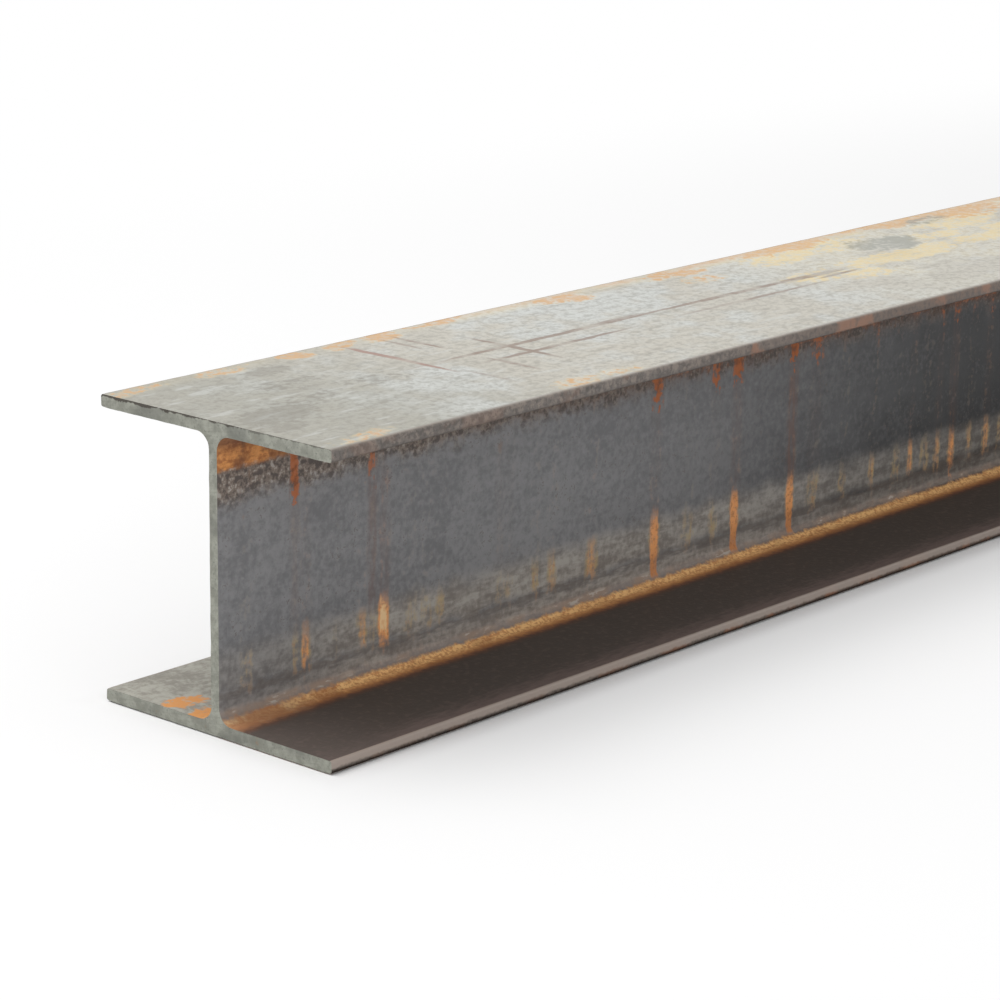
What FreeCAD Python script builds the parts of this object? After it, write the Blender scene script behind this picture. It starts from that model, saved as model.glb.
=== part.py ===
"""Steel universal column: one hot-rolled H-section bar, 152 x 152 mm at 23 kg per metre.

The bar lies on its lower flange. +X runs along the bar, +Y across the flanges and +Z up through
the depth of the section. The origin is on the floor, under the middle of the bar. Sizes are in
millimetres.
"""

import FreeCAD, Part
import Sketcher
import os

NODE = "universal_column"
FOLDER = "parts"

# The driving dimensions, one row of the sheet each.
SIZES = {
    "bar_length": 2000.0,  # as cut from the mill bar
    "depth": 152.4,  # over both flanges
    "flange_width": 152.2,
    "web_thickness": 5.8,
    "flange_thickness": 6.8,
    "root_radius": 7.6,  # where the web runs into a flange
    "toe_radius": 1.6,  # along the rolled edges of the flanges
}

START, END = 1, 2  # a line's two ends
LEVEL_AXIS = -1
ORIGIN_POINT = (-1, 1)
SAME_PLACE = 1e-6  # two coordinates nearer than this are one


def make_sheet(doc):
    """The sheet of driving sizes, one named cell each."""
    sheet = doc.addObject("Spreadsheet::Sheet", "sizes")
    for row, (alias, value) in enumerate(SIZES.items(), start=1):
        sheet.set(f"A{row}", alias)
        sheet.set(f"B{row}", str(value))
        sheet.setAlias(f"B{row}", alias)
    doc.recompute()
    return sheet


def origin_plane(body, role):
    return next(plane for plane in body.Origin.OriginFeatures if plane.Role == role)


def section_corners(sheet):
    """The H outline's corners as (across, up), anticlockwise from the lower flange's -Y toe."""
    toe = sheet.flange_width / 2
    web = sheet.web_thickness / 2
    lower = sheet.flange_thickness
    upper = sheet.depth - sheet.flange_thickness
    top = sheet.depth
    return [
        (-toe, 0),
        (toe, 0),
        (toe, lower),
        (web, lower),
        (web, upper),
        (toe, upper),
        (toe, top),
        (-toe, top),
        (-toe, upper),
        (-web, upper),
        (-web, lower),
        (-toe, lower),
    ]


def draw_section(body, sheet):
    """The outline with sharp corners, fully constrained.

    Line n leaves corner n, so even lines are level and odd lines are upright. Line 0 is the sole of
    the lower flange, lines 1, 5, 7 and 11 are the four toes, and lines 3 and 9 the web's two sides.
    """
    sketch = body.newObject("Sketcher::SketchObject", "section")
    sketch.AttachmentSupport = (origin_plane(body, "YZ_Plane"), [""])
    sketch.MapMode = "FlatFace"

    corners = [FreeCAD.Vector(across, up, 0) for across, up in section_corners(sheet)]
    following = corners[1:] + corners[:1]
    for corner, next_corner in zip(corners, following):
        sketch.addGeometry(Part.LineSegment(corner, next_corner), False)

    def constrain(*words):
        return sketch.addConstraint(Sketcher.Constraint(*words))

    def drive(kind, name, places, expression, value):
        index = constrain(kind, *places, value)
        sketch.renameConstraint(index, name)
        sketch.setExpression(f"Constraints.{name}", expression)

    for line in range(len(corners)):
        constrain("Coincident", line, END, (line + 1) % len(corners), START)
        constrain("Vertical" if line % 2 else "Horizontal", line)
    constrain("PointOnObject", 0, START, LEVEL_AXIS)
    constrain("Vertical", 1, END, 5, START)
    constrain("Vertical", 11, START, 7, END)
    for toe in (5, 7, 11):
        constrain("Equal", 1, toe)

    width, web = sheet.flange_width, sheet.web_thickness
    drive("DistanceX", "width", (0, START, 0, END), "sizes.flange_width", width)
    drive("DistanceX", "half_width", (*ORIGIN_POINT, 0, END), "sizes.flange_width / 2", width / 2)
    drive("DistanceX", "web", (9, END, 3, START), "sizes.web_thickness", web)
    drive("DistanceX", "half_web", (*ORIGIN_POINT, 3, START), "sizes.web_thickness / 2", web / 2)
    drive("DistanceY", "flange", (1, START, 1, END), "sizes.flange_thickness", sheet.flange_thickness)
    drive("DistanceY", "depth", (0, END, 6, START), "sizes.depth", sheet.depth)
    return sketch


def roll_bar(body, sketch):
    """The outline carried along the bar, half its length each way from the origin."""
    bar = body.newObject("PartDesign::Pad", "bar")
    bar.Profile = sketch
    bar.SideType = "Symmetric"
    bar.setExpression("Length", "sizes.bar_length")
    return bar


def is_at(point, place):
    """Whether a point lies at this (across, up) place of the section."""
    across, up = place
    return abs(point.y - across) < SAME_PLACE and abs(point.z - up) < SAME_PLACE


def long_edges_at(shape, places):
    """Names of the edges that run the length of the bar through these (across, up) places."""
    names = []
    for number, edge in enumerate(shape.Edges, start=1):
        first, last = edge.Vertexes[0].Point, edge.Vertexes[-1].Point
        runs_along = is_at(last, (first.y, first.z))
        if runs_along and any(is_at(first, place) for place in places):
            names.append(f"Edge{number}")
    return names


def round_edges(body, base, name, places, radius_alias):
    fillet = body.newObject("PartDesign::Fillet", name)
    fillet.Base = (base, long_edges_at(base.Shape, places))
    fillet.setExpression("Radius", f"sizes.{radius_alias}")
    return fillet


def make_column(doc, sheet):
    """The whole bar: outline, length, the four root fillets and the eight rounded toe edges."""
    body = doc.addObject("PartDesign::Body", NODE)
    body.Label = NODE
    section = draw_section(body, sheet)
    bar = roll_bar(body, section)
    doc.recompute()
    corners = section_corners(sheet)
    web_sides = (3, 4, 9, 10)
    roots = [corners[n] for n in web_sides]
    toes = [corner for n, corner in enumerate(corners) if n not in web_sides]
    root_fillets = round_edges(body, bar, "root_fillets", roots, "root_radius")
    doc.recompute()
    round_edges(body, root_fillets, "toe_rounding", toes, "toe_radius")
    doc.recompute()
    return body


def check(doc, bodies):
    """Stops the build if any object failed, or a body has no sound solid."""
    for item in doc.Objects:
        if {"Invalid", "Error"} & set(item.State):
            raise RuntimeError(f"{item.Label} failed: {item.State}")
    for body in bodies:
        if body.Shape.isNull() or not body.Shape.isValid() or len(body.Shape.Solids) != 1:
            raise RuntimeError(f"{body.Label} isn't one valid solid")


doc = FreeCAD.newDocument("steel_universal_column")
sheet = make_sheet(doc)
column = make_column(doc, sheet)
check(doc, [column])
os.makedirs(FOLDER, exist_ok=True)
column.Shape.exportStep(f"{FOLDER}/{column.Label}.step")

area = column.Shape.Volume / sheet.bar_length
box = column.Shape.BoundBox
print(f"{column.Label}: {box.XLength:.1f} x {box.YLength:.1f} x {box.ZLength:.1f} mm")
print(f"section area {area / 100:.2f} square cm")
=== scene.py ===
import math
import random

import bpy
from mathutils import Matrix, Vector


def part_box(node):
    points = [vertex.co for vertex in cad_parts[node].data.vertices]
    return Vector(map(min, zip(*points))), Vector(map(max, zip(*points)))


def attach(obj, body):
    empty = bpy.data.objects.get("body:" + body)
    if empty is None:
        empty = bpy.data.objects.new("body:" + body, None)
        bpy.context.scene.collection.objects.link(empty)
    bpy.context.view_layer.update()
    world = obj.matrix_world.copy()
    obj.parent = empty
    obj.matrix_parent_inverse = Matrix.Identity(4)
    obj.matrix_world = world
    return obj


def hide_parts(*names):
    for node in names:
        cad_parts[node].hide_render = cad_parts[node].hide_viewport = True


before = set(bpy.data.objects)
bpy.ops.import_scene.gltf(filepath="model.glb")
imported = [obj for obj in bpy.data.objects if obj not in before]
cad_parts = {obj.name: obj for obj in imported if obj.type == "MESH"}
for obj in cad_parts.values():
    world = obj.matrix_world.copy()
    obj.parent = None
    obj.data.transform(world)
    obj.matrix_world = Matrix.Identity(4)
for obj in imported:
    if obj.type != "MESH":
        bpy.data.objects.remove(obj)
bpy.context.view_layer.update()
low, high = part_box("universal_column")


def paint(red, green, blue):  # a finish as the eye names it, 0 to 255, turned into light
    return tuple((value / 255.0) ** 2.2 for value in (red, green, blue)) + (1.0,)


class Wiring:  # short words for wiring one node tree
    def __init__(self, tree):
        self.tree = tree

    def put(self, kind, values=None, **settings):
        made = self.tree.nodes.new(kind)
        for name, value in settings.items():
            setattr(made, name, value)
        for name, value in (values or {}).items():
            socket = made.inputs[name]
            if isinstance(value, bpy.types.NodeSocket):
                self.tree.links.new(value, socket)
            else:
                socket.default_value = value
        return made

    def calc(self, operation, first, second=0.0, third=0.0):
        values = {0: first, 1: second, 2: third}
        return self.put("ShaderNodeMath", values, operation=operation).outputs[0]

    def vec(self, operation, first, second=(0.0, 0.0, 0.0)):
        return self.put("ShaderNodeVectorMath", {0: first, 1: second}, operation=operation).outputs[0]

    def fade(self, value, start, end, first=0.0, last=1.0):  # eases first to last as value goes start to end
        values = {0: value, 1: start, 2: end, 3: first, 4: last}
        return self.put("ShaderNodeMapRange", values, interpolation_type="SMOOTHSTEP").outputs[0]

    def band(self, value, start, end, soft):  # 1 between start and end, with soft edges
        rise = self.fade(value, start - soft, start + soft)
        return self.calc("MULTIPLY", rise, self.fade(value, end - soft, end + soft, 1.0, 0.0))

    def blend(self, share, first, second, way="MIX"):
        values = {0: share, 6: first, 7: second}
        return self.put("ShaderNodeMix", values, data_type="RGBA", blend_type=way).outputs[2]

    def noise(self, where, scale, detail=2.0, roughness=0.5, output=0):
        values = {"Vector": where, "Scale": scale, "Detail": detail, "Roughness": roughness}
        return self.put("ShaderNodeTexNoise", values).outputs[output]

    def axes(self, where):
        return self.put("ShaderNodeSeparateXYZ", {0: where}).outputs

    def point(self, x, y, z=0.0):
        return self.put("ShaderNodeCombineXYZ", {0: x, 1: y, 2: z}).outputs[0]

    def stretched(self, where, ratio):  # the same pattern with its grain drawn out
        return self.vec("MULTIPLY", where, ratio)

    def shaken(self, where, scale, reach):  # the same place moved about, so that no edge runs straight
        shake = self.vec("SUBTRACT", self.noise(where, scale, 3.0, 0.6, output=1), (0.5, 0.5, 0.5))
        return self.vec("ADD", where, self.vec("MULTIPLY", shake, (2 * reach, 2 * reach, 2 * reach)))


bar = {
    "length": high.x - low.x,
    "width": high.y - low.y,
    "depth": high.z - low.z,
    "web": 0.0058,
    "flange": 0.0068,
    "rootRadius": 0.0076,
    "toeRadius": 0.0016,
    "stepAround": 0.0045,
    "rings": 330,
    "endCrowding": 0.55,  # how much closer the rings lie at the two sawn ends
    "waviness": 0.00022,
    "toeWear": 0.00035,
    "rustCrust": 0.0005,
    "sawBurr": 0.0005,
    "seed": 7.0,
}


def addInput(tree, name, value):
    kind = "NodeSocketInt" if isinstance(value, int) else "NodeSocketFloat"
    socket = tree.interface.new_socket(name, in_out="INPUT", socket_type=kind)
    socket.default_value = value
    return socket.identifier


def sectionCurve(w, given):  # the H outline: twelve corners, four of them rounded roots, eight rounded toes
    index = w.put("GeometryNodeInputIndex").outputs[0]
    place = w.calc("MODULO", index, 6.0)
    isRoot = w.calc("COMPARE", place, 3.5, 0.6)
    isOuter = w.calc("COMPARE", place, 0.5, 0.6)
    side = w.calc("MULTIPLY_ADD", w.calc("COMPARE", index, 3.5, 2.6), 2.0, -1.0)
    level = w.calc("MULTIPLY_ADD", w.calc("COMPARE", index, 6.5, 2.6), 2.0, -1.0)
    toWeb = w.calc("SUBTRACT", given["web"], given["width"])
    reach = w.calc("MULTIPLY_ADD", isRoot, toWeb, given["width"])
    across = w.calc("MULTIPLY", w.calc("MULTIPLY", reach, 0.5), side)
    inset = w.calc("MULTIPLY", w.calc("SUBTRACT", 1.0, isOuter), given["flange"])
    up = w.calc("MULTIPLY", w.calc("SUBTRACT", w.calc("MULTIPLY", given["depth"], 0.5), inset), level)
    corners = w.put("GeometryNodeMeshLine", {"Count": 12}).outputs[0]
    line = w.put("GeometryNodeMeshToCurve", {"Mesh": corners}).outputs[0]
    loop = w.put("GeometryNodeSetSplineCyclic", {"Geometry": line, "Cyclic": True}).outputs[0]
    outline = w.put("GeometryNodeSetPosition", {"Geometry": loop, "Position": w.point(across, up)}).outputs[0]
    radius = w.calc("MULTIPLY_ADD", isRoot, w.calc("SUBTRACT", given["rootRadius"], given["toeRadius"]),
                    given["toeRadius"])
    turns = w.calc("MULTIPLY_ADD", isRoot, 4.0, 6.0)
    rounding = w.put("GeometryNodeFilletCurve", mode="POLY")
    for name, value in (("Curve", outline), ("Count", turns), ("Radius", radius)):
        w.tree.links.new(value, rounding.inputs[name])
    here = w.put("GeometryNodeInputPosition").outputs[0]
    ahead = w.put("GeometryNodeOffsetPointInCurve", {"Offset": 1}).outputs[1]
    there = w.put("GeometryNodeFieldAtIndex", data_type="FLOAT_VECTOR")
    w.tree.links.new(here, there.inputs[0])
    w.tree.links.new(ahead, there.inputs[1])
    gap = w.put("ShaderNodeVectorMath", {0: here, 1: there.outputs[0]}, operation="DISTANCE").outputs["Value"]
    cuts = w.calc("FLOOR", w.calc("DIVIDE", gap, given["stepAround"]))
    return w.put("GeometryNodeSubdivideCurve", {"Curve": rounding.outputs[0], "Cuts": cuts}).outputs[0]


def rollingLine(w, given):  # the straight pass line, with its stations drawn together towards both sawn ends
    half = w.calc("MULTIPLY", given["length"], 0.5)
    values = {"Start": (0.0, 0.0, 0.0), "End": (1.0, 0.0, 0.0)}
    line = w.put("GeometryNodeCurvePrimitiveLine", values).outputs[0]
    stations = w.put("GeometryNodeResampleCurve", {"Curve": line, "Count": given["rings"]}).outputs[0]
    share = w.put("GeometryNodeSplineParameter").outputs[0]
    run = w.calc("MULTIPLY_ADD", share, 2.0, -1.0)
    pull = w.calc("MULTIPLY", w.calc("SINE", w.calc("MULTIPLY", run, math.pi)), given["endCrowding"])
    place = w.calc("ADD", run, w.calc("DIVIDE", pull, math.pi))
    height = w.calc("MULTIPLY", given["depth"], 0.5)
    spot = w.point(w.calc("MULTIPLY", place, half), 0.0, height)
    return w.put("GeometryNodeSetPosition", {"Geometry": stations, "Position": spot}).outputs[0]


reliefZones = {"toe": 0.0035, "cut": 0.0008}  # how far the wear reaches in from the sides and the cuts


def relief(w, given, mesh):  # what stands off the true section: waves, worn toes, rust crust, saw burr
    here = w.put("GeometryNodeInputPosition").outputs[0]
    x, y, z = w.axes(here)
    out = w.calc("ABSOLUTE", y)

    def waves(scale, detail, drawn=(1.0, 1.0, 1.0)):
        values = {"Vector": w.stretched(here, drawn), "W": given["seed"], "Scale": scale, "Detail": detail}
        return w.put("ShaderNodeTexNoise", values, noise_dimensions="4D").outputs[0]

    sink = w.calc("MULTIPLY", waves(9.0, 2.0), given["waviness"])
    toeLine = w.calc("SUBTRACT", w.calc("MULTIPLY", given["width"], 0.5), reliefZones["toe"])
    atToe = w.calc("GREATER_THAN", out, toeLine)
    toeSink = w.calc("MULTIPLY", w.calc("MULTIPLY", waves(38.0, 3.0), given["toeWear"]), atToe)
    edge = w.calc("SUBTRACT", w.calc("MULTIPLY", given["length"], 0.5), reliefZones["cut"])
    atCut = w.calc("GREATER_THAN", w.calc("ABSOLUTE", x), edge)
    burr = w.calc("MULTIPLY", w.calc("MULTIPLY", waves(210.0, 2.0), given["sawBurr"]), atCut)
    lift = w.calc("SUBTRACT", z, given["flange"])
    climb = w.calc("SUBTRACT", lift, w.calc("SUBTRACT", out, w.calc("MULTIPLY", given["web"], 0.5)))
    inRoot = w.calc("MULTIPLY", w.band(climb, -0.0105, -0.0005, 0.0015), w.calc("GREATER_THAN", lift, -0.001))
    lumps = w.calc("MULTIPLY", waves(160.0, 3.0, (0.6, 1.0, 1.0)), given["rustCrust"])
    crust = w.calc("MULTIPLY", lumps, inRoot)
    rise = w.calc("SUBTRACT", crust, w.calc("ADD", w.calc("ADD", sink, toeSink), burr))
    normal = w.put("GeometryNodeInputNormal").outputs[0]
    offset = w.put("ShaderNodeVectorMath", {0: normal, "Scale": rise}, operation="SCALE").outputs[0]
    return w.put("GeometryNodeSetPosition", {"Geometry": mesh, "Offset": offset}).outputs[0]


def rollingTree(outerSkin, channelSkin, sawnFace):
    tree = bpy.data.node_groups.new("roll the section", "GeometryNodeTree")
    sockets = {name: addInput(tree, name, value) for name, value in bar.items()}
    tree.interface.new_socket("Geometry", in_out="OUTPUT", socket_type="NodeSocketGeometry")
    w = Wiring(tree)
    entry = w.put("NodeGroupInput")
    given = {name: entry.outputs[name] for name in bar}
    values = {"Curve": rollingLine(w, given), "Profile Curve": sectionCurve(w, given), "Fill Caps": True}
    swept = w.put("GeometryNodeCurveToMesh", values).outputs[0]
    shaped = relief(w, given, swept)
    normal = w.put("GeometryNodeInputNormal").outputs["True Normal"]
    facing = w.calc("ABSOLUTE", w.axes(normal)[0])
    isCut = w.calc("GREATER_THAN", facing, 0.7)
    skinOnly = w.calc("LESS_THAN", facing, 0.7)
    smooth = w.put("GeometryNodeSetShadeSmooth", {"Geometry": shaped, "Selection": skinOnly}).outputs[0]
    here = w.put("GeometryNodeInputPosition").outputs[0]
    y, z = w.axes(here)[1:]
    toeLine = w.calc("SUBTRACT", w.calc("MULTIPLY", given["width"], 0.5), given["toeRadius"])
    inSpan = w.calc("LESS_THAN", w.calc("ABSOLUTE", y), toeLine)
    middle = w.calc("MULTIPLY", given["depth"], 0.5)
    reach = w.calc("SUBTRACT", middle, w.calc("MULTIPLY", given["flange"], 0.5))
    inChannel = w.calc("MULTIPLY", inSpan, w.calc("COMPARE", z, middle, reach))
    real = w.put("GeometryNodeRealizeInstances", {"Geometry": smooth}).outputs[0]
    coated = w.put("GeometryNodeSetMaterial", {"Geometry": real, "Material": outerSkin}).outputs[0]
    values = {"Geometry": coated, "Selection": inChannel, "Material": channelSkin}
    coated = w.put("GeometryNodeSetMaterial", values).outputs[0]
    values = {"Geometry": coated, "Selection": isCut, "Material": sawnFace}
    coated = w.put("GeometryNodeSetMaterial", values).outputs[0]
    w.put("NodeGroupOutput", {0: coated})
    return tree, sockets


def rollBar(outerSkin, channelSkin, sawnFace):
    piece = bpy.data.objects.new("rolled_bar", bpy.data.meshes.new("rolled_bar"))
    bpy.context.scene.collection.objects.link(piece)
    tree, sockets = rollingTree(outerSkin, channelSkin, sawnFace)
    rolling = piece.modifiers.new("rolling", "NODES")
    rolling.node_group = tree
    for name, identifier in sockets.items():
        rolling[identifier] = bar[name]
    even = piece.modifiers.new("even shading", "WEIGHTED_NORMAL")
    even.keep_sharp = True
    graph = bpy.context.evaluated_depsgraph_get()
    finished = bpy.data.meshes.new_from_object(piece.evaluated_get(graph), depsgraph=graph)
    piece.modifiers.clear()
    piece.data = finished
    return piece


foot = bar["length"] / 2  # from the middle of the bar to its foot end


def beginFinish(name, polish):  # polish is how mirror-like the surface is face on
    material = bpy.data.materials.new(name)
    material.use_nodes = True
    w = Wiring(material.node_tree)
    shader = w.tree.nodes["Principled BSDF"]
    shader.inputs["IOR"].default_value = polish
    where = w.put("ShaderNodeTexCoord").outputs["Object"]
    place = w.vec("ADD", where, (foot, 0.0, 0.0))
    return material, w, shader, place


def endFinish(w, shader, colour, roughness, height, depth):
    bump = w.put("ShaderNodeBump", {"Height": height, "Distance": depth, "Strength": 1.0}).outputs[0]
    w.tree.links.new(colour, shader.inputs["Base Color"])
    w.tree.links.new(roughness, shader.inputs["Roughness"])
    w.tree.links.new(bump, shader.inputs["Normal"])


channelTones = {
    "scaleLight": paint(125, 125, 126),
    "scaleDark": paint(100, 100, 102),
    # painted shade: the scale's dark tone far along the bar
    "farShadedScale": paint(24, 25, 27),
    "lowerLight": paint(166, 161, 153),
    "lowerMid": paint(120, 113, 106),
    "darkBand": paint(98, 89, 81),
    # painted highlight: the glint tones over the lower root, the warm one also tinted by rust
    "paintedGlint": paint(172, 164, 154),
    "paintedGlintWarm": paint(146, 122, 102),
    "speckLight": paint(186, 182, 174),
    "speckMid": paint(138, 125, 112),
    "speckDark": paint(80, 70, 64),
    "farSpeck": paint(84, 60, 48),
    "rustBright": paint(214, 148, 86),
    "rustMid": paint(164, 104, 62),
    "rustDark": paint(104, 68, 50),
    "drip": paint(168, 98, 58),
    # orange rust, partly painted highlight: the brightest tone of the root rust
    "rootRustAndHighlight": paint(255, 204, 136),
    "rootMid": paint(210, 146, 92),
    "rootFoot": paint(154, 130, 107),
    "smear": paint(234, 160, 98),
    "smearPale": paint(172, 152, 112),
    # painted highlight: the cream tone on one smear's top
    "creamHighlight": paint(232, 200, 152),
    "underFlange": paint(88, 78, 70),
    # painted shade: the dark tone of the front lower flange and of the upper flange's underside
    "flangeShade": paint(75, 67, 61),
    "flangeFoot": paint(83, 74, 69),
    "flangeEdge": paint(105, 90, 85),
    # painted reflection: the light grey tones of the back lower flange
    "backSheenFlange": paint(166, 164, 153),
    "backSheenFlangeDull": paint(132, 128, 118),
}
# rust that ran down the front of the web: along from the foot, half its width, and how strong it is
# under the upper flange, as a streak down the web, and as a smear above the lower root
webRuns = [
    (0.018, 0.0036, 0.2, 0.0, 0.40), (0.050, 0.0024, 1.0, 0.25, 0.45), (0.057, 0.0032, 0.0, 0.1, 0.66),
    (0.078, 0.0030, 0.1, 0.0, 0.2), (0.096, 0.0034, 0.15, 0.0, 0.60), (0.103, 0.0026, 0.55, 0.6, 0.3),
    (0.111, 0.0036, 0.0, 0.35, 1.0), (0.130, 0.0050, 0.1, 0.0, 0.30), (0.142, 0.0040, 0.0, 0.0, 0.40),
    (0.152, 0.0030, 0.1, 0.0, 0.50), (0.196, 0.0028, 0.20, 0.10, 0.3), (0.203, 0.0034, 0.0, 0.05, 0.30),
    (0.224, 0.0034, 0.1, 0.0, 0.50), (0.237, 0.0034, 0.0, 0.0, 0.55), (0.269, 0.0045, 0.1, 0.0, 0.60),
    (0.321, 0.0038, 0.85, 0.15, 0.86), (0.350, 0.0050, 0.1, 0.0, 0.40), (0.372, 0.0036, 0.7, 0.05, 0.45),
    (0.391, 0.0036, 0.95, 0.3, 0.92), (0.442, 0.0034, 1.0, 0.8, 0.88), (0.464, 0.0050, 0.55, 0.1, 0.5),
    (0.492, 0.0030, 0.2, 0.0, 0.50), (0.521, 0.0030, 0.35, 0.0, 0.56), (0.545, 0.0040, 0.2, 0.0, 0.45),
    (0.560, 0.0028, 0.3, 0.05, 0.66), (0.575, 0.0040, 0.15, 0.0, 0.50), (0.588, 0.0030, 0.4, 0.1, 0.60),
    (0.603, 0.0034, 0.5, 0.25, 0.72), (0.622, 0.0030, 0.3, 0.0, 0.55), (0.640, 0.0036, 0.4, 0.1, 0.62),
    (0.655, 0.0030, 0.2, 0.0, 0.50),
]
handRunsEnd = 0.66  # past here, and on the back, the runs fall where a seeded pattern puts them


def rustRuns(w, along, isFront):  # strengths under the flange, down the web and above the root, as a vector
    total = (0.0, 0.0, 0.0)
    for spot, half, upper, streak, lower in webRuns:
        away = w.calc("ABSOLUTE", w.calc("SUBTRACT", along, spot))
        share = w.fade(away, half * 0.4, half * 1.9, 1.0, 0.0)
        values = {0: (upper, streak, lower), "Scale": share}
        mark = w.put("ShaderNodeVectorMath", values, operation="SCALE").outputs[0]
        total = w.vec("MAXIMUM", total, mark)
    values = {"W": w.calc("MULTIPLY_ADD", isFront, 31.7, along), "Scale": 21.0, "Randomness": 1.0}
    cells = w.put("ShaderNodeTexVoronoi", values, voronoi_dimensions="1D")
    share = w.fade(cells.outputs["Distance"], 0.03, 0.13, 1.0, 0.0)
    strength = w.vec("POWER", cells.outputs["Color"], (1.6, 3.0, 1.2))
    values = {0: strength, "Scale": share}
    scattered = w.put("ShaderNodeVectorMath", values, operation="SCALE").outputs[0]
    byHand = w.calc("MULTIPLY", isFront, w.calc("LESS_THAN", along, handRunsEnd))
    values = {0: byHand, 4: scattered, 5: total}
    return w.put("ShaderNodeMix", values, data_type="VECTOR").outputs[1]


def softPatchGroup():  # 1 in the middle of an oval lying on the face, easing to 0 past its edge
    group = bpy.data.node_groups.new("soft patch", "ShaderNodeTree")
    for name, kind in (("Place", "Vector"), ("Middle", "Vector"), ("Reach", "Vector")):
        group.interface.new_socket(name, in_out="INPUT", socket_type="NodeSocket" + kind)
    group.interface.new_socket("Share", in_out="OUTPUT", socket_type="NodeSocketFloat")
    w = Wiring(group)
    given = w.put("NodeGroupInput").outputs
    away = w.vec("DIVIDE", w.vec("SUBTRACT", given["Place"], given["Middle"]), given["Reach"])
    distance = w.put("ShaderNodeVectorMath", {0: away}, operation="LENGTH").outputs["Value"]
    w.put("NodeGroupOutput", {0: w.fade(distance, 0.35, 1.0, 1.0, 0.0)})
    return group


def laidMarks(w, place, marks, soft):
    total = 0.0
    for along, across, halfAlong, halfAcross, strength in marks:
        reach = (halfAlong + soft, halfAcross + soft, 9.0)
        values = {"Place": place, "Middle": (along, across, 0.0), "Reach": reach}
        share = w.put("ShaderNodeGroup", node_tree=softPatch)
        for name, value in values.items():
            if name == "Place":
                w.tree.links.new(value, share.inputs[name])
            else:
                share.inputs[name].default_value = value
        total = w.calc("MAXIMUM", total, w.calc("MULTIPLY", share.outputs[0], strength))
    return total


def ragged(w, share, pattern):  # eats into the edges of a mark
    eaten = w.calc("MULTIPLY_ADD", share, 1.25, w.fade(pattern, 0.32, 0.68, -0.70, 0.70))
    return w.calc("MULTIPLY", w.fade(eaten, 0.10, 1.05), w.fade(share, 0.0, 0.35))


softPatch = softPatchGroup()
backStains = [
    (0.006, 0.014, 0.011, 0.006, 1.0), (0.012, 0.033, 0.012, 0.006, 1.0), (0.260, 0.020, 0.030, 0.006, 0.7),
]


def channelPlaces(w, place):  # everything that the layers of the channel's finish are laid out by
    x, y, z = w.axes(place)
    at = {"place": place, "x": x, "z": z}
    at["isFront"] = w.calc("LESS_THAN", y, 0.0)
    at["isLow"] = w.calc("LESS_THAN", z, bar["depth"] / 2)
    at["out"] = w.calc("SUBTRACT", w.calc("ABSOLUTE", y), bar["web"] / 2)
    at["patches"] = w.noise(place, 9.0, 2.0)
    at["cloud"] = w.noise(place, 48.0, 4.0, 0.6)
    at["rolled"] = w.noise(w.stretched(place, (40.0, 170.0, 170.0)), 1.0, 3.0, 0.6)
    at["strands"] = w.noise(w.stretched(place, (100.0, 420.0, 420.0)), 1.0, 3.0, 0.6)
    at["grain"] = w.noise(place, 560.0, 2.0, 0.6)
    at["flecks"] = w.noise(place, 270.0, 3.0, 0.6)
    at["sway"] = w.calc("SUBTRACT", at["cloud"], 0.5)
    at["ridges"] = w.calc("MULTIPLY_ADD", at["strands"], 0.6, w.calc("MULTIPLY", at["grain"], 0.4))
    at["climb"] = w.calc("SUBTRACT", w.calc("SUBTRACT", z, bar["flange"]), at["out"])
    at["drop"] = w.calc("SUBTRACT", w.calc("SUBTRACT", bar["depth"] - bar["flange"], z), at["out"])
    at["farness"] = w.fade(w.calc("MULTIPLY_ADD", at["sway"], 0.25, x), 0.22, 0.66)
    return at


def layScale(w, at, tone):  # smooth blue-grey scale, finely mottled, lighter by the foot; its darkening far along the bar is painted shade
    mottle = w.calc("MULTIPLY_ADD", at["cloud"], 0.25, w.calc("MULTIPLY", at["patches"], 0.15))
    mottle = w.calc("MULTIPLY_ADD", at["flecks"], 0.30, mottle)
    mottle = w.calc("MULTIPLY_ADD", at["rolled"], 0.15, mottle)
    at["mottle"] = w.calc("MULTIPLY_ADD", at["grain"], 0.15, mottle)
    near = w.blend(w.fade(at["mottle"], 0.41, 0.58), tone["scaleDark"], tone["scaleLight"])
    far = w.blend(w.fade(at["mottle"], 0.47, 0.62, 0.0, 0.40), tone["farShadedScale"], tone["scaleDark"])
    colour = w.blend(at["farness"], near, far)
    # painted shade: the web darkens further past 0.55 m from the foot
    colour = w.blend(w.fade(at["x"], 0.55, 0.80, 0.0, 0.55), colour, tone["farShadedScale"])
    pits = w.calc("MULTIPLY", w.fade(at["grain"], 0.60, 0.68), w.fade(at["cloud"], 0.46, 0.60))
    return w.blend(w.calc("MULTIPLY", pits, 0.55), colour, tone["speckDark"])


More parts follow.
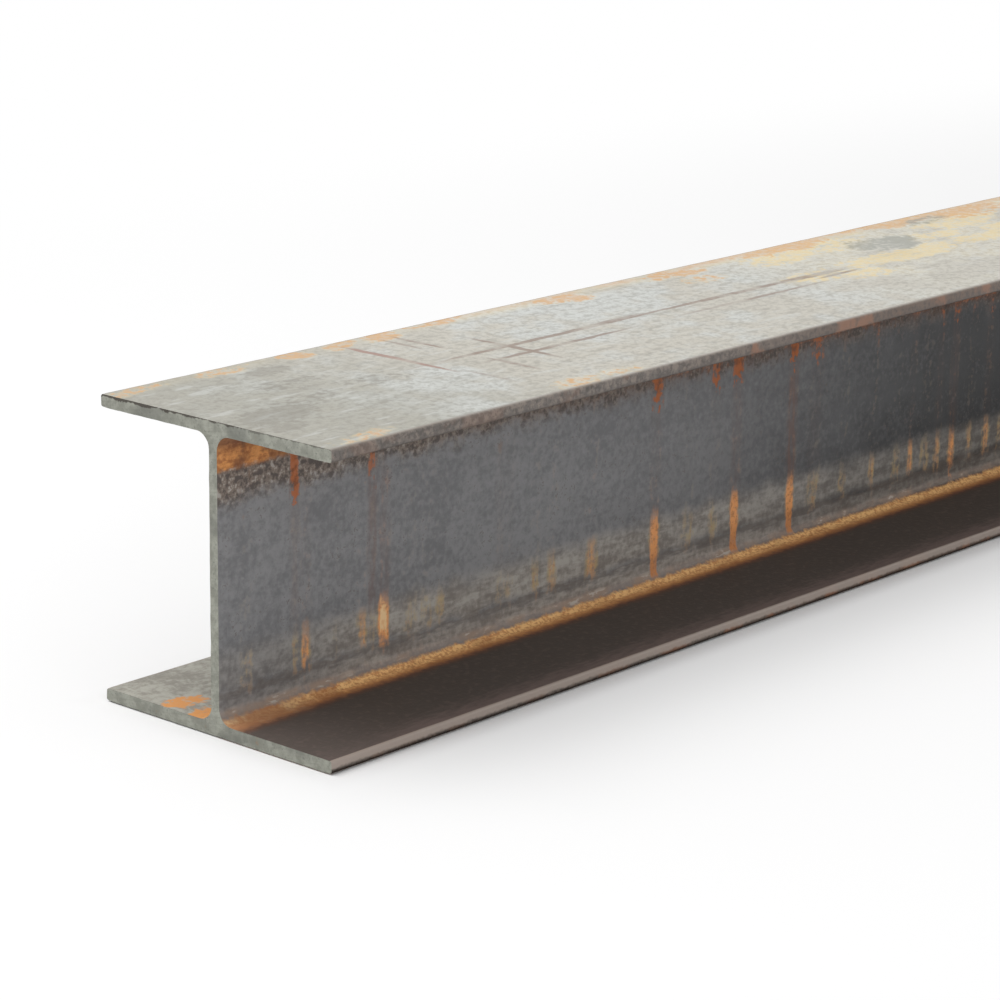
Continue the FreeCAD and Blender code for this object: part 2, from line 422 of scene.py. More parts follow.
def layLowerBands(w, at, tone, colour):  # a dull band, a dark line, and over the lower root a light warm band with bright spots, painted highlight tinted by rust
    climb = w.calc("MULTIPLY_ADD", at["sway"], 0.012, at["climb"])
    mixed = w.calc("MULTIPLY_ADD", at["flecks"], 0.30, w.calc("MULTIPLY", at["ridges"], 0.30))
    mixed = w.calc("MULTIPLY_ADD", at["rolled"], 0.40, mixed)
    dull = w.blend(w.fade(mixed, 0.40, 0.60), tone["lowerMid"], tone["lowerLight"])
    rise = w.calc("MULTIPLY", w.fade(climb, 0.0120, 0.0190), w.fade(climb, 0.040, 0.028))
    weight = w.fade(at["farness"], 0.0, 1.0, 0.90, 0.50)
    weight = w.calc("MULTIPLY", weight, w.fade(at["x"], 0.02, 0.11, 0.40, 1.0))
    colour = w.blend(w.calc("MULTIPLY", rise, weight), colour, dull)
    drawn = w.calc("MULTIPLY_ADD", w.calc("SUBTRACT", at["strands"], 0.5), 0.012, at["climb"])
    streaky = w.calc("MULTIPLY", w.band(drawn, 0.0040, 0.0120, 0.003), weight)
    colour = w.blend(w.calc("MULTIPLY", streaky, 0.85), colour, dull)
    dark = w.calc("MULTIPLY", w.band(drawn, 0.0120, 0.0145, 0.0020), 0.60)
    colour = w.blend(dark, colour, tone["darkBand"])
    # painted highlight: a lighter, partly warm band just above the root, with bright spots, standing in for
    # the fillet's reflection
    sheenBand = w.band(at["climb"], 0.0004, 0.0058, 0.0020)
    warm = w.calc("MULTIPLY", sheenBand, w.fade(at["cloud"], 0.40, 0.60, 0.35, 0.8))
    colour = w.blend(warm, colour, tone["paintedGlintWarm"])
    shine = w.calc("MULTIPLY", w.fade(at["strands"], 0.52, 0.60), w.fade(at["cloud"], 0.50, 0.60))
    return w.blend(w.calc("MULTIPLY", w.calc("MULTIPLY", sheenBand, shine), 0.85), colour, tone["paintedGlint"])


def laySpeckle(w, at, tone, colour):  # salt and pepper under the upper flange, browner along the bar
    fall = w.calc("MULTIPLY_ADD", w.calc("SUBTRACT", at["flecks"], 0.5), 0.014, at["drop"])
    fall = w.calc("MULTIPLY_ADD", at["sway"], 0.018, fall)
    at["peppered"] = w.fade(fall, 0.038, 0.028)
    nearFoot = w.fade(at["x"], 0.05, 0.22, 1.0, 0.25)
    crumbs = w.calc("MULTIPLY_ADD", at["grain"], 0.40, w.calc("MULTIPLY", at["flecks"], 0.60))
    salt = w.blend(w.fade(crumbs, 0.43, 0.56), tone["speckDark"], tone["speckMid"])
    salt = w.blend(w.calc("MULTIPLY", w.fade(crumbs, 0.54, 0.62), nearFoot), salt, tone["speckLight"])
    brown = w.calc("MULTIPLY", w.fade(at["flecks"], 0.40, 0.60), w.fade(at["x"], 0.10, 0.40, 0.30, 0.9))
    salt = w.blend(brown, salt, tone["farSpeck"])
    weight = w.fade(at["farness"], 0.0, 1.0, 0.85, 0.70)
    colour = w.blend(w.calc("MULTIPLY", at["peppered"], weight), colour, salt)
    spots = w.calc("MULTIPLY", w.fade(at["cloud"], 0.50, 0.58), w.fade(at["x"], 0.20, 0.42))
    spots = w.calc("MULTIPLY", spots, w.fade(fall, 0.032, 0.025))
    spots = w.calc("MULTIPLY", spots, w.fade(at["grain"], 0.40, 0.60, 0.25, 0.85))
    return w.blend(spots, colour, tone["drip"])


def layFlanges(w, at, tone, colour):  # inner faces: dark in front and under the upper flange, painted shade; light grey behind, painted reflection of the bright surroundings
    at["onFlange"] = w.fade(at["out"], 0.0075, 0.0110)
    at["nearFoot"] = w.fade(w.calc("MULTIPLY_ADD", at["sway"], 0.03, at["x"]), 0.02, 0.075, 1.0, 0.0)
    reach = w.calc("MULTIPLY_ADD", w.calc("SUBTRACT", at["strands"], 0.5), 0.030, at["out"])
    # painted shade on the front lower flange, easing out towards its toe
    front = w.blend(w.fade(reach, 0.055, 0.073), tone["flangeShade"], tone["flangeEdge"])
    front = w.blend(w.calc("MULTIPLY", at["nearFoot"], 0.75), front, tone["flangeFoot"])
    front = w.blend(w.fade(at["flecks"], 0.50, 0.70, 0.0, 0.45), front, tone["flangeEdge"])
    # painted reflection: the back lower flange is a lighter, mottled grey
    back = w.blend(w.fade(at["mottle"], 0.42, 0.58), tone["backSheenFlange"], tone["backSheenFlangeDull"])
    lower = w.blend(at["isFront"], back, front)
    upper = w.blend(w.fade(at["cloud"], 0.42, 0.58), tone["flangeShade"], tone["underFlange"])
    return w.blend(at["onFlange"], colour, w.blend(at["isLow"], upper, lower))


def layRootRust(w, at, tone, colour):  # the orange line in the lower root, broken on the back, brightest along its middle as partly painted highlight
    edge = w.calc("MULTIPLY_ADD", w.calc("SUBTRACT", at["flecks"], 0.5), 0.006, at["climb"])
    sunk = w.calc("MULTIPLY_ADD", at["nearFoot"], 0.0016, edge)  # the rust lies lower and duller by the foot
    broken = w.calc("MAXIMUM", at["cloud"], w.calc("MULTIPLY", at["isFront"], 0.7))
    broken = w.fade(broken, 0.36, 0.48)
    broken = w.calc("MULTIPLY", broken, at["isLow"])
    halo = w.calc("MULTIPLY", w.fade(sunk, -0.0190, -0.0130), w.fade(edge, -0.002, -0.006))
    halo = w.calc("MULTIPLY", w.calc("MULTIPLY", halo, broken), w.calc("MULTIPLY", at["isFront"], 0.70))
    colour = w.blend(halo, colour, tone["rustDark"])
    root = w.calc("MULTIPLY", w.fade(sunk, -0.0155, -0.0085), w.fade(edge, 0.0018, -0.0018))
    root = w.calc("MULTIPLY", root, broken)
    # partly painted highlight: the rust is brightest, with sparkle, along the middle of the fillet
    offPeak = w.calc("ABSOLUTE", w.calc("ADD", sunk, 0.0036))
    sparkle = w.calc("MULTIPLY_ADD", at["grain"], 0.6, w.calc("MULTIPLY", at["ridges"], 0.4))
    peak = w.calc("MULTIPLY", w.fade(offPeak, 0.0, 0.0075, 1.0, 0.0), w.fade(sparkle, 0.40, 0.58, 0.15, 1.20))
    rust = w.blend(peak, tone["rootMid"], tone["rootRustAndHighlight"])
    rust = w.blend(w.fade(sunk, -0.0070, -0.0145, 0.0, 0.65), rust, tone["rustMid"])
    rust = w.blend(w.calc("MULTIPLY", at["nearFoot"], 0.65), rust, tone["rootFoot"])
    reddish = w.calc("MULTIPLY", w.fade(at["cloud"], 0.50, 0.60), w.fade(at["x"], 0.05, 0.25, 0.6, 0.25))
    rust = w.blend(reddish, rust, tone["rustMid"])
    at["rusty"] = root
    return w.blend(w.calc("MULTIPLY", root, 0.95), colour, rust)


def layFootRust(w, at, tone, colour):  # rust in the upper root by the foot, and spots on the back of the sole
    patchy = w.fade(w.calc("ADD", w.fade(at["x"], 0.03, 0.08, 0.5, 0.0), at["cloud"]), 0.45, 0.60)
    fall = w.calc("MULTIPLY_ADD", w.calc("SUBTRACT", at["flecks"], 0.5), 0.004, at["drop"])
    upper = w.calc("MULTIPLY", w.fade(fall, 0.0190, 0.0160), w.fade(at["out"], 0.060, 0.045))
    upper = w.calc("MULTIPLY", upper, patchy)
    spots = ragged(w, laidMarks(w, w.shaken(at["place"], 90.0, 0.004), backStains, 0.004), at["flecks"])
    spots = w.calc("MULTIPLY", spots, at["isLow"])
    rust = w.blend(w.fade(at["ridges"], 0.38, 0.60), tone["rustMid"], tone["rustBright"])
    rust = w.blend(w.fade(fall, 0.012, 0.003, 0.0, 0.80), rust, tone["rustDark"])
    rust = w.blend(w.fade(at["cloud"], 0.46, 0.56, 0.0, 0.60), rust, tone["rustDark"])
    rust = w.blend(at["isLow"], rust, tone["rustBright"])
    marks = w.calc("MAXIMUM", upper, spots)
    at["rusty"] = w.calc("MAXIMUM", at["rusty"], marks)
    return w.blend(w.calc("MULTIPLY", marks, 0.95), colour, rust)


def layRuns(w, at, tone, colour):  # drips under the upper flange, streaks down the web, smears over the root, one of them with a painted highlight
    flat = w.stretched(at["place"], (1.0, 0.0, 1.0))
    threads = w.noise(w.stretched(at["place"], (330.0, 0.0, 60.0)), 1.0, 3.0, 0.6)
    uneven = w.calc("MULTIPLY_ADD", threads, 0.5, w.calc("MULTIPLY", at["flecks"], 0.5))
    uneven = w.fade(uneven, 0.38, 0.62, -0.5, 0.5)
    spot = w.axes(w.shaken(flat, 110.0, 0.0014))[0]
    upper, streak, lower = w.axes(rustRuns(w, spot, at["isFront"]))
    height = w.calc("MULTIPLY_ADD", at["sway"], 0.022, w.calc("MULTIPLY_ADD", uneven, 0.010, at["z"]))
    onWeb = w.fade(at["out"], 0.0042, 0.0018)
    streak = w.calc("MULTIPLY", w.calc("MULTIPLY", streak, w.band(at["z"], 0.040, 0.112, 0.010)), onWeb)
    streak = w.calc("MULTIPLY", streak, w.fade(threads, 0.38, 0.56, 0.3, 1.0))
    colour = w.blend(w.calc("MULTIPLY", streak, 0.6), colour, tone["rustDark"])
    reaching = w.calc("MULTIPLY", w.fade(lower, 0.60, 0.85), w.calc("GREATER_THAN", at["x"], 0.20))
    tail = w.calc("MAXIMUM", w.fade(at["z"], 0.014, 0.028), reaching)
    smear = w.calc("MULTIPLY", w.calc("MULTIPLY", lower, w.fade(height, 0.050, 0.034)), tail)
    smear = w.fade(w.calc("MULTIPLY_ADD", uneven, 0.55, smear), 0.12, 0.92)
    smear = w.calc("MULTIPLY", smear, w.fade(at["out"], 0.0022, 0.0004))  # it stops where the root begins
    smear = w.calc("MULTIPLY", smear, w.fade(lower, 0.05, 0.30))
    smearTone = w.blend(w.fade(lower, 0.45, 0.75), tone["smearPale"], tone["smear"])
    smearTone = w.blend(w.fade(at["grain"], 0.50, 0.66, 0.0, 0.60), smearTone, tone["rustMid"])
    smearTone = w.blend(w.fade(at["z"], 0.028, 0.014, 0.0, 0.60), smearTone, tone["rustMid"])
    colour = w.blend(w.calc("MULTIPLY", smear, 0.88), colour, smearTone)
    # painted highlight: a cream patch near the top of the strongest smear by the foot
    core = w.calc("MULTIPLY", w.fade(lower, 0.88, 0.98), w.band(height, 0.026, 0.037, 0.006))
    core = w.calc("MULTIPLY", core, w.calc("LESS_THAN", at["x"], 0.20))
    colour = w.blend(w.calc("MULTIPLY", core, 0.9), colour, tone["creamHighlight"])
    drip = w.calc("MULTIPLY", w.calc("MULTIPLY", upper, w.fade(height, 0.100, 0.114)), onWeb)
    eaten = w.fade(w.calc("MULTIPLY_ADD", uneven, 0.5, drip), 0.15, 0.85)
    drip = w.calc("MULTIPLY", eaten, w.fade(drip, 0.02, 0.2))
    dripTone = w.calc("MULTIPLY", w.fade(drip, 0.35, 0.80), w.fade(at["flecks"], 0.36, 0.56, 0.35, 1.0))
    dripTone = w.blend(dripTone, tone["rustDark"], tone["drip"])
    at["rusty"] = w.calc("MAXIMUM", at["rusty"], w.calc("MAXIMUM", smear, drip))
    return w.blend(w.calc("MULTIPLY", drip, 0.9), colour, dripTone)


def channelFinish():  # the web, the roots and the inner faces of both flanges
    tone = channelTones
    material, w, shader, place = beginFinish("channel mill scale", 1.5)
    at = channelPlaces(w, place)
    colour = layScale(w, at, tone)
    for layer in (layLowerBands, laySpeckle, layFlanges, layRootRust, layFootRust, layRuns):
        colour = layer(w, at, tone, colour)
    rough = w.calc("MAXIMUM", w.calc("MULTIPLY", at["rusty"], 0.9), w.calc("MULTIPLY", at["peppered"], 0.7))
    rough = w.calc("MAXIMUM", rough, w.calc("MULTIPLY", at["onFlange"], 0.62))
    roughness = w.calc("MAXIMUM", w.fade(at["mottle"], 0.40, 0.60, 0.40, 0.50), rough)
    height = w.calc("MULTIPLY_ADD", at["flecks"], 0.4, w.calc("MULTIPLY", at["grain"], 0.6))
    height = w.calc("MULTIPLY_ADD", at["rolled"], 0.3, height)
    depth = w.calc("MULTIPLY_ADD", rough, 0.00026, 0.00008)
    endFinish(w, shader, colour, roughness, height, depth)
    return material


outerTones = {
    "pale": paint(189, 191, 187),
    "paleWarm": paint(174, 167, 151),
    "footGrey": paint(142, 140, 128),
    "smudge": paint(112, 107, 95),
    "line": paint(122, 102, 88),
    "redLine": paint(132, 88, 70),
    "edgeRust": paint(200, 156, 106),
    "stain": paint(222, 200, 146),
    "patchGrey": paint(138, 139, 131),
    "toe": paint(118, 107, 98),
    "toeFar": paint(94, 76, 63),
    # painted highlight on the lower toe
    "toePaintedHighlight": paint(153, 139, 129),
    # dark grain on the toes, and painted shade on them
    "toeDarkSpeckAndShade": paint(62, 54, 48),
    # painted contact shade along the bottom edge of the toes
    "ground": paint(40, 35, 31),
    "toeRust": paint(132, 92, 68),
    "under": paint(88, 81, 75),
    "underRust": paint(140, 88, 54),
}
# marks on the upper face: along from the foot, across from the middle, half lengths both ways, strength
rollLines = [
    (0.250, 0.0075, 0.140, 0.0016, 1.00), (0.405, 0.0075, 0.120, 0.0018, 1.00),
    (0.232, -0.0090, 0.080, 0.0014, 0.95), (0.395, -0.0080, 0.095, 0.0012, 0.60),
    (0.472, 0.0050, 0.034, 0.0012, 0.80), (0.484, -0.0010, 0.026, 0.0012, 0.70),
    (0.185, -0.0200, 0.0014, 0.0220, 0.90), (0.186, 0.0450, 0.0014, 0.0240, 0.80),
    (0.177, 0.0480, 0.0012, 0.0200, 0.50), (0.212, 0.0020, 0.0018, 0.0420, 0.85),
    (0.157, -0.0300, 0.0012, 0.0240, 0.40), (0.300, 0.0100, 0.030, 0.0010, 0.60),
]
redLines = [(0.152, 0.0260, 0.0012, 0.0480, 1.0), (0.151, 0.0480, 0.0010, 0.0240, 0.8)]
edgeStains = [
    (0.012, 0.070, 0.030, 0.007, 0.45), (0.070, 0.070, 0.024, 0.006, 0.42),
    (0.122, 0.069, 0.012, 0.006, 0.95), (0.154, 0.068, 0.008, 0.008, 0.75),
    (0.181, 0.066, 0.012, 0.009, 0.85), (0.225, 0.071, 0.030, 0.004, 0.50),
    (0.320, 0.064, 0.022, 0.010, 0.85), (0.415, 0.066, 0.030, 0.008, 0.85),
    (0.520, 0.066, 0.060, 0.009, 1.00), (0.640, 0.068, 0.080, 0.007, 1.00),
    (0.700, 0.060, 0.060, 0.015, 0.70), (0.415, 0.044, 0.022, 0.005, 0.50),
    (0.028, -0.069, 0.026, 0.004, 0.35), (0.175, -0.067, 0.022, 0.006, 0.50),
    (0.215, -0.068, 0.022, 0.005, 0.45), (0.640, -0.067, 0.050, 0.008, 0.55),
]
yellowStains = [
    (0.500, 0.052, 0.040, 0.014, 0.80), (0.555, 0.050, 0.030, 0.016, 0.70),
    (0.560, 0.008, 0.070, 0.008, 1.00), (0.640, 0.004, 0.045, 0.007, 0.90),
    (0.620, 0.028, 0.024, 0.006, 0.80), (0.670, 0.046, 0.050, 0.012, 0.85),
    (0.500, -0.008, 0.026, 0.008, 0.65), (0.470, 0.004, 0.030, 0.008, 0.50),
    (0.690, 0.018, 0.040, 0.006, 0.80),
]
greyPatches = [(0.576, 0.034, 0.034, 0.015, 0.80), (0.655, 0.058, 0.024, 0.007, 0.55)]
smudges = [
    (0.030, -0.014, 0.036, 0.009, 0.90), (0.086, 0.053, 0.018, 0.004, 0.90),
    (0.078, 0.026, 0.022, 0.008, 0.60), (0.014, -0.030, 0.014, 0.010, 0.80),
    (0.110, 0.004, 0.030, 0.008, 0.45), (0.060, 0.000, 0.020, 0.007, 0.60),
]
loosePatches = random.Random(41)  # marks for the length past these
for mark in range(9):
    spot = 0.80 + 0.13 * mark + loosePatches.uniform(-0.04, 0.04)
    side = loosePatches.choice((-0.069, 0.067))
    half = loosePatches.uniform(0.01, 0.05)
    edgeStains.append((spot, side, half, 0.007, loosePatches.uniform(0.4, 0.85)))
    side = loosePatches.uniform(-0.05, 0.05)
    half = loosePatches.uniform(0.015, 0.05)
    yellowStains.append((spot + 0.05, side, half, 0.010, loosePatches.uniform(0.3, 0.7)))
    side = loosePatches.uniform(-0.05, 0.05)
    half = loosePatches.uniform(0.01, 0.04)
    rollLines.append((spot + 0.02, side, 0.0012, half, loosePatches.uniform(0.3, 0.6)))
rollLines.append((1.350, 0.0140, 0.330, 0.0012, 0.55))


def topFace(w, at, tone):  # weathered pale scale, dull and smudged by the foot
    mottle = w.calc("MULTIPLY_ADD", at["cloud"], 0.50, w.calc("MULTIPLY", at["patches"], 0.50))
    at["mottle"] = mottle
    colour = w.blend(w.fade(mottle, 0.57, 0.43, 0.0, 0.75), tone["pale"], tone["paleWarm"])
    nearFoot = w.fade(w.calc("MULTIPLY_ADD", at["sway"], 0.22, at["x"]), 0.02, 0.20, 1.0, 0.0)
    colour = w.blend(w.calc("MULTIPLY", nearFoot, 0.80), colour, tone["footGrey"])
    colour = w.blend(w.fade(at["flecks"], 0.46, 0.62, 0.0, 0.38), colour, tone["smudge"])
    colour = w.blend(w.fade(at["grain"], 0.46, 0.70, 0.0, 0.30), colour, tone["smudge"])
    at["scratch"] = w.fade(at["rolled"], 0.55, 0.70)
    colour = w.blend(w.calc("MULTIPLY", at["scratch"], 0.30), colour, tone["smudge"])
    colour = w.blend(w.fade(at["rolled"], 0.44, 0.32, 0.0, 0.45), colour, tone["pale"])
    blotches = ragged(w, laidMarks(w, at["wavy"], smudges, 0.006), at["pattern"])
    return w.blend(w.calc("MULTIPLY", blotches, 0.50), colour, tone["smudge"])


def topStains(w, at, tone, colour):  # yellow and orange bloom, grey bare spots and old rolling lines
    dappled = w.fade(at["flecks"], 0.35, 0.60, 0.55, 1.0)
    yellow = ragged(w, laidMarks(w, at["wavy"], yellowStains, 0.010), at["pattern"])
    bloom = w.fade(at["mottle"], 0.44, 0.58, 0.0, 0.34)
    farStain = w.calc("MULTIPLY", w.band(at["x"], 0.47, 1.30, 0.06), bloom)
    yellow = w.calc("MAXIMUM", w.calc("MULTIPLY", yellow, 0.85), farStain)
    colour = w.blend(w.calc("MULTIPLY", yellow, w.calc("MULTIPLY", dappled, 0.85)), colour, tone["stain"])
    edge = ragged(w, laidMarks(w, at["wavy"], edgeStains, 0.006), at["pattern"])
    rim = w.calc("MULTIPLY", w.fade(at["y"], 0.058, 0.072), w.fade(at["x"], 0.0, 0.45, 0.15, 0.70))
    rim = w.calc("MULTIPLY", rim, w.fade(at["mottle"], 0.40, 0.54, 0.2, 1.0))
    edge = w.calc("MAXIMUM", w.calc("MULTIPLY", edge, 0.85), rim)
    edgeTone = w.blend(w.fade(edge, 0.20, 0.70), tone["stain"], tone["edgeRust"])
    colour = w.blend(w.calc("MULTIPLY", edge, dappled), colour, edgeTone)
    grey = ragged(w, laidMarks(w, at["wavy"], greyPatches, 0.006), at["pattern"])
    colour = w.blend(w.calc("MULTIPLY", grey, 0.85), colour, tone["patchGrey"])
    worn = w.fade(at["cloud"], 0.36, 0.56, 0.35, 0.80)
    fine = w.shaken(at["place"], 90.0, 0.0016)
    lines = w.calc("MULTIPLY", w.fade(laidMarks(w, fine, rollLines, 0.0014), 0.0, 0.75), worn)
    colour = w.blend(lines, colour, tone["line"])
    red = w.calc("MULTIPLY", w.fade(laidMarks(w, fine, redLines, 0.0014), 0.0, 0.75), worn)
    colour = w.blend(red, colour, tone["redLine"])
    at["rusty"] = w.calc("MAXIMUM", w.calc("MAXIMUM", edge, yellow), lines)
    return colour


def toeFaces(w, at, tone):  # the rolled edges of both flanges, and the sole, with painted shade and a painted highlight on the toes
    near = w.blend(w.fade(at["flecks"], 0.40, 0.60), tone["toe"], tone["under"])
    toe = w.blend(w.fade(at["x"], 0.20, 0.45), near, tone["toeFar"])
    toe = w.blend(w.fade(at["grain"], 0.46, 0.62, 0.0, 0.70), toe, tone["toeDarkSpeckAndShade"])
    # painted shade: the upper toe darker from 4 mm under its top downwards; the lower toe darkened a little
    # all over
    shaded = w.fade(at["z"], bar["depth"] - 0.0040, bar["depth"] - 0.0062, 0.0, 0.60)
    toe = w.blend(w.calc("MULTIPLY", shaded, w.calc("SUBTRACT", 1.0, at["isLow"])), toe, tone["toeDarkSpeckAndShade"])
    toe = w.blend(w.calc("MULTIPLY", at["isLow"], 0.20), toe, tone["toeDarkSpeckAndShade"])
    spots = w.calc("MULTIPLY", w.fade(at["cloud"], 0.50, 0.60), w.fade(at["x"], 0.12, 0.30, 0.2, 0.8))
    toe = w.blend(spots, toe, tone["toeRust"])
    # painted highlight: the upper part of the lower toe lighter, less so far along
    shoulder = w.calc("MULTIPLY_ADD", w.calc("SUBTRACT", at["flecks"], 0.5), 0.003, at["z"])
    lit = w.calc("MULTIPLY", w.fade(shoulder, 0.0020, 0.0036), w.fade(at["x"], 0.3, 0.9, 0.90, 0.50))
    toe = w.blend(w.calc("MULTIPLY", lit, at["isLow"]), toe, tone["toePaintedHighlight"])
    under = w.blend(w.fade(at["mottle"], 0.45, 0.57), tone["under"], tone["underRust"])
    inward = w.calc("LESS_THAN", at["side"], bar["width"] / 2 - bar["toeRadius"])
    # painted contact shade: the bottom 2.6 mm of the toes darkened
    toe = w.blend(w.fade(at["z"], 0.0026, 0.0010, 0.0, 0.90), toe, tone["ground"])
    return w.blend(w.calc("MULTIPLY", at["isLow"], inward), toe, under)


def outerFinish():  # the outer faces of both flanges, and the toes
    tone = outerTones
    material, w, shader, place = beginFinish("weathered mill scale", 1.7)
    x, y, z = w.axes(place)
    at = {"place": place, "x": x, "y": y, "z": z, "side": w.calc("ABSOLUTE", y)}
    at["isLow"] = w.calc("LESS_THAN", z, bar["depth"] / 2)
    at["patches"] = w.noise(place, 7.0, 2.0)
    at["cloud"] = w.noise(place, 38.0, 4.0, 0.6)
    at["rolled"] = w.noise(w.stretched(place, (34.0, 150.0, 150.0)), 1.0, 3.0, 0.65)
    at["grain"] = w.noise(place, 520.0, 2.0, 0.6)
    at["flecks"] = w.noise(place, 210.0, 3.0, 0.6)
    at["sway"] = w.calc("SUBTRACT", at["cloud"], 0.5)
    at["wavy"] = w.shaken(place, 26.0, 0.012)
    at["pattern"] = w.calc("MULTIPLY_ADD", at["cloud"], 0.5, w.calc("MULTIPLY", at["flecks"], 0.5))
    colour = topFace(w, at, tone)
    colour = topStains(w, at, tone, colour)
    edging = w.calc("MULTIPLY", w.fade(at["side"], bar["width"] / 2 - 0.0032, bar["width"] / 2 - 0.0012), 0.7)
    colour = w.blend(edging, colour, tone["toe"])
    atToe = w.fade(at["side"], bar["width"] / 2 - 0.0012, bar["width"] / 2 - 0.0004)
    isTop = w.fade(z, bar["depth"] - 0.0016, bar["depth"] - 0.0004)
    isTop = w.calc("MULTIPLY", isTop, w.calc("MULTIPLY_ADD", atToe, -0.7, 1.0))
    colour = w.blend(isTop, toeFaces(w, at, tone), colour)
    rough = w.calc("MULTIPLY", at["rusty"], 0.75)
    roughness = w.calc("MAXIMUM", w.fade(at["mottle"], 0.40, 0.60, 0.42, 0.55), rough)
    height = w.calc("MULTIPLY_ADD", at["flecks"], 0.5, w.calc("MULTIPLY", at["grain"], 0.4))
    height = w.calc("MULTIPLY_ADD", at["rolled"], 0.3, height)
    dull = w.fade(z, 0.0012, 0.0036, 0.02, 0.5)  # the edge by the ground has no gloss left
    w.tree.links.new(dull, shader.inputs["Specular IOR Level"])
    endFinish(w, shader, colour, roughness, height, w.calc("MULTIPLY_ADD", rough, 0.00025, 0.00014))
    return material


sawnTones = {
    "bare": paint(155, 156, 145),
    "dull": paint(130, 131, 121),
    "dark": paint(94, 95, 90),
    "burr": paint(66, 60, 52),
    "blush": paint(144, 114, 90),
}


def sawnFinish():  # both cut ends: bare steel with faint band-saw lines
    tone = sawnTones
    material, w, shader, place = beginFinish("sawn steel", 1.6)
    shader.inputs["Metallic"].default_value = 0.35
    y, z = w.axes(place)[1:]
    cloud = w.noise(place, 120.0, 4.0, 0.65)
    broad = w.noise(place, 34.0, 2.0, 0.5)
    grain = w.noise(place, 700.0, 3.0, 0.6)
    tilted = w.calc("MULTIPLY_ADD", y, 0.16, z)
    passes = w.noise(w.point(w.calc("MULTIPLY", tilted, 900.0), w.calc("MULTIPLY", y, 14.0)), 1.0, 2.0, 0.6)
    colour = w.blend(w.fade(cloud, 0.36, 0.62), tone["bare"], tone["dull"])
    colour = w.blend(w.fade(broad, 0.52, 0.66, 0.0, 0.45), colour, tone["dark"])
    colour = w.blend(w.fade(passes, 0.52, 0.70, 0.0, 0.40), colour, tone["dull"])
    colour = w.blend(w.fade(grain, 0.56, 0.72, 0.0, 0.55), colour, tone["dark"])
    depth = w.calc("MULTIPLY_ADD", cloud, 0.0050, w.calc("MULTIPLY_ADD", grain, 0.0010, z))
    depth = w.calc("ADD", depth, w.fade(y, 0.00, 0.05, 0.0, 0.0007))
    lip = w.fade(depth, bar["depth"] + 0.0018, bar["depth"] + 0.0024)
    nicks = w.fade(w.calc("MULTIPLY_ADD", broad, 0.08, y), 0.014, 0.044, 0.55, 1.0)
    colour = w.blend(w.calc("MULTIPLY", w.calc("MULTIPLY", lip, nicks), 0.95), colour, tone["burr"])
    colour = w.blend(w.fade(cloud, 0.64, 0.74, 0.0, 0.5), colour, tone["blush"])
    roughness = w.fade(passes, 0.40, 0.60, 0.48, 0.60)
    height = w.calc("MULTIPLY_ADD", passes, 0.5, w.calc("MULTIPLY", grain, 0.3))
    endFinish(w, shader, colour, roughness, height, 0.0003)
    return material


studio = {
    "floorSize": 30.0,
    "floorGap": 0.0003,  # the floor lies this far under the sole
    "alongShare": 0.42,  # the shadow's reach along the bar counts this much of its reach across
    "floorGlow": 0.32,  # how far the shadow is lifted towards the plain white
    "shadowReach": 0.42,  # from here the floor clears to plain white, measured across the bar
    "clearEnd": 1.15,
    "contact": 0.018,  # the shadow stays whole this close to the bar
    "skyLevel": 0.60,
    "softboxes": {
        "key": {"power": 66.0, "size": 2.4, "place": (-1.6, 0.9, 3.0), "aim": (-0.6, 0.0, 0.1)},
        "fill": {"power": 26.0, "size": 3.0, "place": (-2.2, -3.2, 1.0), "aim": (-0.5, 0.0, 0.1)},
    },
}
camera = {
    "lens": 118.03,
    "sensor": 36.0,
    "nearest": 0.05,
    "furthest": 100.0,
    "fromFoot": (-1.0006, -1.0566, 0.5129),
    "turn": 48.63,
    "tilt": 15.29,
    "roll": 0.80,
}


def seenRays(w):  # 1 for rays that look at the surroundings, 0 for those that only carry light
    rays = w.put("ShaderNodeLightPath").outputs
    seen = w.calc("MAXIMUM", rays["Is Camera Ray"], rays["Is Glossy Ray"])
    return w.calc("MAXIMUM", seen, rays["Is Transmission Ray"])


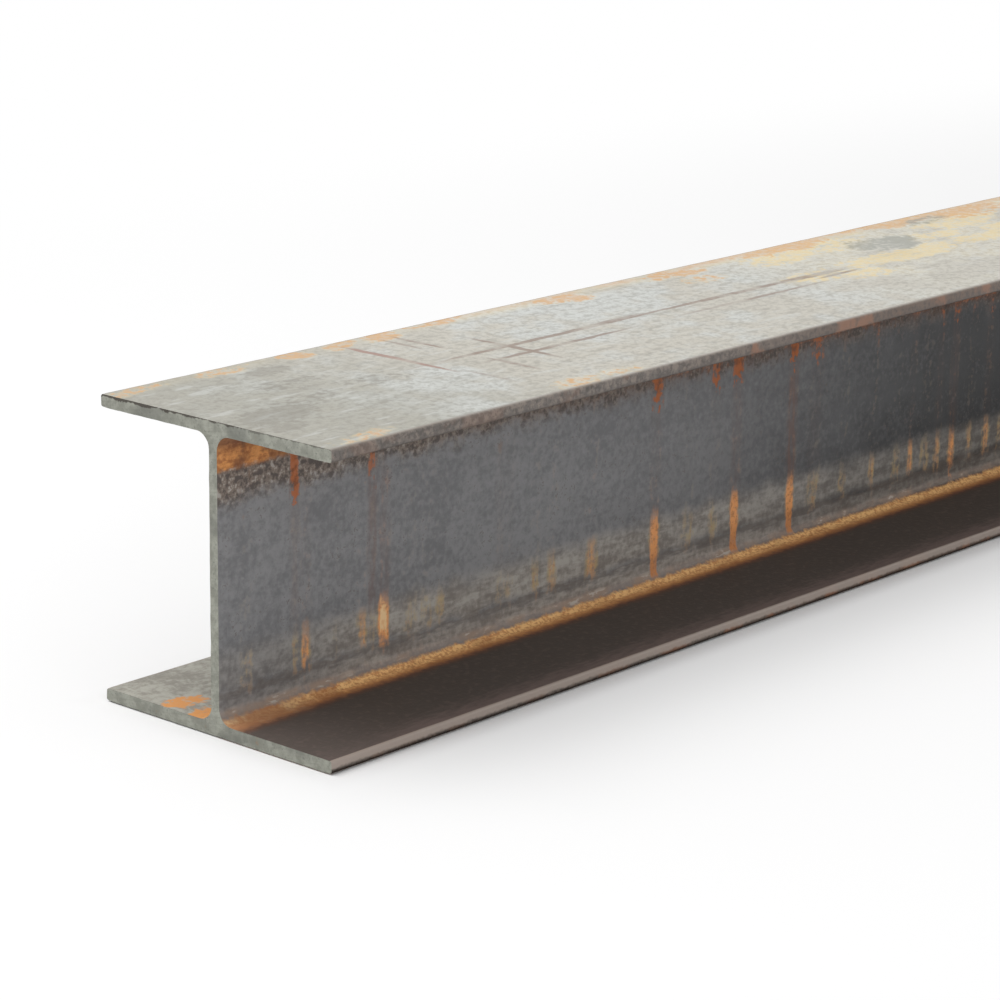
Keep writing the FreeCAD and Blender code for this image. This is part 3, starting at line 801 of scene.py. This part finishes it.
def buildFloor():
    half = studio["floorSize"] / 2
    mesh = bpy.data.meshes.new("studio_floor")
    corners = [(-half, -half), (half, -half), (half, half), (-half, half)]
    mesh.from_pydata([(x, y, low.z - studio["floorGap"]) for x, y in corners], [], [(0, 1, 2, 3)])
    floor = bpy.data.objects.new("studio_floor", mesh)
    bpy.context.scene.collection.objects.link(floor)
    material = bpy.data.materials.new("pale floor")
    material.use_nodes = True
    w = Wiring(material.node_tree)
    w.tree.nodes.clear()
    where = w.put("ShaderNodeTexCoord").outputs["Object"]
    squeezed = w.stretched(where, (studio["alongShare"], 1.0, 0.0))
    distance = w.put("ShaderNodeVectorMath", {0: squeezed}, operation="LENGTH").outputs["Value"]
    far = w.fade(distance, studio["shadowReach"], studio["clearEnd"], studio["floorGlow"], 1.0)
    board = w.put("ShaderNodeBsdfDiffuse", {"Color": (0.9, 0.9, 0.9, 1.0)}).outputs[0]
    white = w.put("ShaderNodeEmission", {"Color": (1.0, 1.0, 1.0, 1.0), "Strength": 1.0}).outputs[0]
    x, y = w.axes(where)[:2]
    beside = w.fade(w.calc("ABSOLUTE", y), bar["width"] / 2, bar["width"] / 2 + studio["contact"])
    beyond = w.fade(w.calc("ABSOLUTE", x), foot, foot + studio["contact"])
    far = w.calc("MULTIPLY", far, w.calc("MAXIMUM", beside, beyond))
    share = w.calc("MULTIPLY", far, seenRays(w))
    surface = w.put("ShaderNodeMixShader", {0: share, 1: board, 2: white}).outputs[0]
    w.put("ShaderNodeOutputMaterial", {"Surface": surface})
    mesh.materials.append(material)


def buildLight():
    world = bpy.data.worlds.new("studio")
    world.use_nodes = True
    bpy.context.scene.world = world
    w = Wiring(world.node_tree)
    w.tree.nodes.clear()
    strength = w.fade(seenRays(w), 0.0, 1.0, studio["skyLevel"], 1.0)
    sky = w.put("ShaderNodeBackground", {"Color": (1.0, 1.0, 1.0, 1.0), "Strength": strength}).outputs[0]
    w.put("ShaderNodeOutputWorld", {"Surface": sky})
    for name, box in studio["softboxes"].items():
        lamp = bpy.data.lights.new(name, "AREA")
        lamp.shape = "SQUARE"
        lamp.size = box["size"]
        lamp.energy = box["power"]
        holder = bpy.data.objects.new(name, lamp)
        holder.location = box["place"]
        aim = Vector(box["aim"]) - holder.location
        holder.rotation_euler = aim.to_track_quat("-Z", "Y").to_euler()
        bpy.context.scene.collection.objects.link(holder)


def placeCamera():
    body = bpy.data.cameras.new("camera")
    body.lens = camera["lens"]
    body.sensor_width = camera["sensor"]
    body.clip_start = camera["nearest"]
    body.clip_end = camera["furthest"]
    holder = bpy.data.objects.new("camera", body)
    atFoot = Vector((low.x, (low.y + high.y) / 2, low.z))
    turned = Matrix.Rotation(-math.radians(camera["turn"]), 4, "Z")
    tilted = Matrix.Rotation(math.radians(90 - camera["tilt"]), 4, "X")
    rolled = Matrix.Rotation(math.radians(camera["roll"]), 4, "Z")
    holder.matrix_world = Matrix.Translation(atFoot + Vector(camera["fromFoot"])) @ turned @ tilted @ rolled
    bpy.context.scene.collection.objects.link(holder)
    bpy.context.scene.camera = holder


placeCamera()
buildLight()
buildFloor()
print("studio: floor, lamps and camera are up")

rolledBar = rollBar(outerFinish(), channelFinish(), sawnFinish())
print("rolled bar:", len(rolledBar.data.polygons), "faces", len(rolledBar.data.vertices), "points")
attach(rolledBar, "root")
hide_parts("universal_column")

bpy.context.scene.view_settings.view_transform = "Standard"
